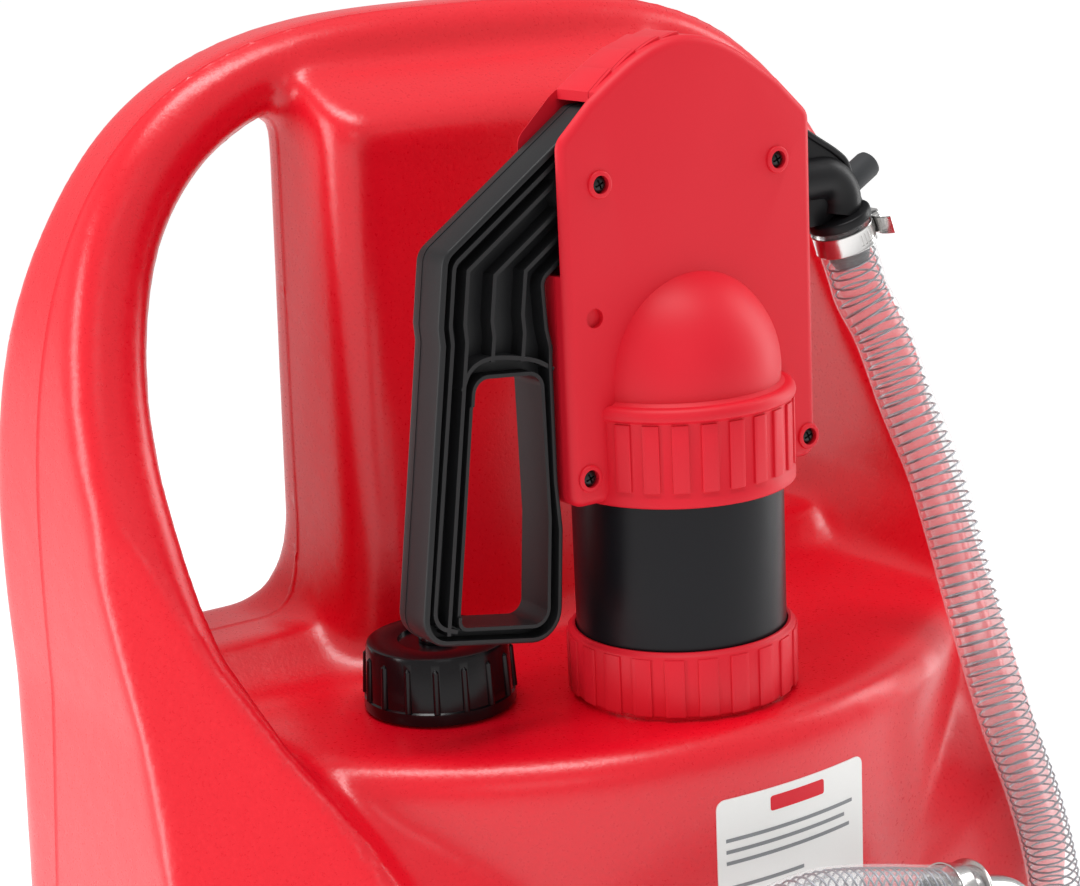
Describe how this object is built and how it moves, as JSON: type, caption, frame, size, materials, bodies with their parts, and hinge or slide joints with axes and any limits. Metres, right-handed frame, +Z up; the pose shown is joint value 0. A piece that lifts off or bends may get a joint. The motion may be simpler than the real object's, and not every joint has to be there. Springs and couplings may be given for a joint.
{
  "type": "mobile fuel tank with hand pump",
  "caption": "Upright wheeled plastic tank with an arch handle, a screw filler cap, a hand lever piston pump and a clear hose with a bent spout.",
  "frame": {"origin": "on the floor, under the middle of the tank's width and depth", "axes": "+Z up, -Y is the front with the pump, +X is the viewer's right"},
  "size_m": [0.4952, 0.3574, 0.887],
  "materials": {
    "tank_red": "satin rotomoulded polyethylene",
    "pump_red": "satin moulded",
    "black_plastic": "satin moulded",
    "tyre": "solid rubber",
    "clear_hose": "clear with a wire spiral",
    "steel": "zinc plated",
    "rubber": "matt",
    "grey_rubber": "matt",
    "white_plastic": "acetal",
    "grey_plastic": "extruded"
  },
  "bodies": {
    "tank": {"axle": "steel", "axle_cap_left": "black_plastic", "axle_cap_right": "black_plastic", "clamp_screw_pump": "steel", "clamp_screw_spout": "steel", "coupling_ring": "pump_red", "discharge_spout": "steel", "foot_valve_cage": "white_plastic", "holder_screw_1": "steel", "holder_screw_2": "steel", "hose": "clear_hose", "hose_clamp_pump": "steel", "hose_clamp_spout": "steel", "housing_front": "pump_red", "housing_rear": "pump_red", "housing_screw_1": "steel", "housing_screw_2": "steel", "housing_screw_3": "steel", "housing_screw_4": "steel", "inner_washer_left": "steel", "inner_washer_right": "steel", "outer_washer_left": "steel", "outer_washer_right": "steel", "outlet_elbow": "black_plastic", "pivot_bush": "white_plastic", "pump_cylinder": "black_plastic", "pump_gasket": "rubber", "pump_head": "black_plastic", "rod_seal": "rubber", "spout_holder": "black_plastic", "suction_strainer": "black_plastic", "suction_tube": "grey_plastic", "tank_shell": "tank_red", "vacuum_breaker": "grey_rubber"},
    "lever_body": {"lever": "black_plastic", "rod_pin": "steel"},
    "rod_body": {"piston_rod": "steel", "piston": "white_plastic", "piston_seal": "rubber", "piston_nut": "steel"},
    "piston_valve_body": {"piston_valve": "rubber"},
    "foot_valve_body": {"foot_valve_disc": "rubber"},
    "cap_seal_body": {"cap_seal": "rubber"},
    "cap_body": {"filler_cap": "black_plastic", "vent_valve": "black_plastic"},
    "left_wheel": {"wheel_hub_left": "black_plastic", "tyre_left": "tyre"},
    "right_wheel": {"wheel_hub_right": "black_plastic", "tyre_right": "tyre"}
  },
  "joints": [
    {"name": "lever_swing", "type": "hinge", "parent": "tank", "child": "lever_body", "pos_m": [-0.0453, -0.06825, 0.823], "axis": [0, 1, 0], "range_deg": [0, 50]},
    {"name": "rod_slide", "type": "slide", "parent": "tank", "child": "rod_body", "axis": [0, 0, -1], "range_m": [0, 0.0403]},
    {"name": "piston_valve_lift", "type": "slide", "parent": "rod_body", "child": "piston_valve_body", "axis": [0, 0, 1], "range_m": [0, 0.003]},
    {"name": "foot_valve_lift", "type": "slide", "parent": "tank", "child": "foot_valve_body", "axis": [0, 0, 1], "range_m": [0, 0.003]},
    {"name": "cap_rise", "type": "slide", "parent": "tank", "child": "cap_seal_body", "axis": [0, 0, 1], "range_m": [0, 0.0181]},
    {"name": "cap_turn", "type": "hinge", "parent": "cap_seal_body", "child": "cap_body", "pos_m": [-0.0933, -0.01995, 0.63], "axis": [0, 0, 1], "range_deg": [0, 1080]},
    {"name": "left_wheel_spin", "type": "hinge", "parent": "tank", "child": "left_wheel", "pos_m": [-0.2145, 0.07875, 0.1], "axis": [1, 0, 0], "continuous": true},
    {"name": "right_wheel_spin", "type": "hinge", "parent": "tank", "child": "right_wheel", "pos_m": [0.2145, 0.07875, 0.1], "axis": [1, 0, 0], "continuous": true}
  ],
  "couplings": [
    {"joint": "rod_slide", "follows": "lever_swing", "m_per_rad": 0.04603},
    {"joint": "cap_rise", "follows": "cap_turn", "m_per_rad": 0.00095493}
  ]
}
